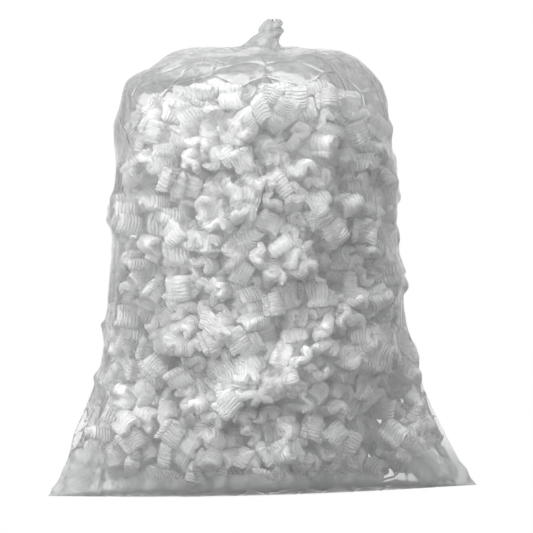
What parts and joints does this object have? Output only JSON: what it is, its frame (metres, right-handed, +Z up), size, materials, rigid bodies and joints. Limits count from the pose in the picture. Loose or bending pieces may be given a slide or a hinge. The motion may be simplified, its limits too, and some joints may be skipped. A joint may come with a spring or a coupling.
{
  "type": "packing peanut bag",
  "caption": "Clear film bag of white S-shaped foam packing peanuts, heat sealed flat across the bottom with two pointed ears and tied shut in its own knot.",
  "frame": {"origin": "under the middle of the bag, on the surface that it stands on", "axes": "+Z up; the bottom heat seal and its two ears lie along X; the front of the picture faces -Y, with +X to its right"},
  "size_m": [0.523, 0.3011, 0.575],
  "materials": {
    "film": "clear glossy polyethylene film",
    "foam": "expanded polystyrene foam, ribbed skin and torn cut ends"
  },
  "bodies": {
    "root": {"bag_film": "film", "loose_fill": "foam", "peanut_01": "foam", "peanut_02": "foam", "peanut_03": "foam", "peanut_04": "foam", "peanut_05": "foam", "peanut_06": "foam", "peanut_07": "foam", "peanut_08": "foam", "peanut_09": "foam", "peanut_10": "foam", "peanut_11": "foam", "peanut_12": "foam", "peanut_13": "foam", "peanut_14": "foam", "peanut_15": "foam", "peanut_16": "foam", "peanut_17": "foam", "peanut_18": "foam", "peanut_19": "foam", "peanut_20": "foam", "peanut_21": "foam", "peanut_22": "foam", "peanut_23": "foam", "peanut_24": "foam", "peanut_25": "foam", "peanut_26": "foam", "peanut_27": "foam", "peanut_28": "foam", "peanut_29": "foam", "peanut_30": "foam", "peanut_31": "foam", "peanut_32": "foam", "peanut_33": "foam", "peanut_34": "foam", "peanut_35": "foam", "peanut_36": "foam", "peanut_37": "foam", "peanut_38": "foam", "peanut_39": "foam", "peanut_40": "foam", "peanut_41": "foam", "peanut_42": "foam", "peanut_43": "foam", "peanut_44": "foam", "peanut_45": "foam", "peanut_46": "foam", "peanut_47": "foam", "peanut_48": "foam", "peanut_49": "foam", "peanut_50": "foam", "peanut_51": "foam", "peanut_52": "foam", "peanut_53": "foam", "peanut_54": "foam"}
  },
  "joints": []
}
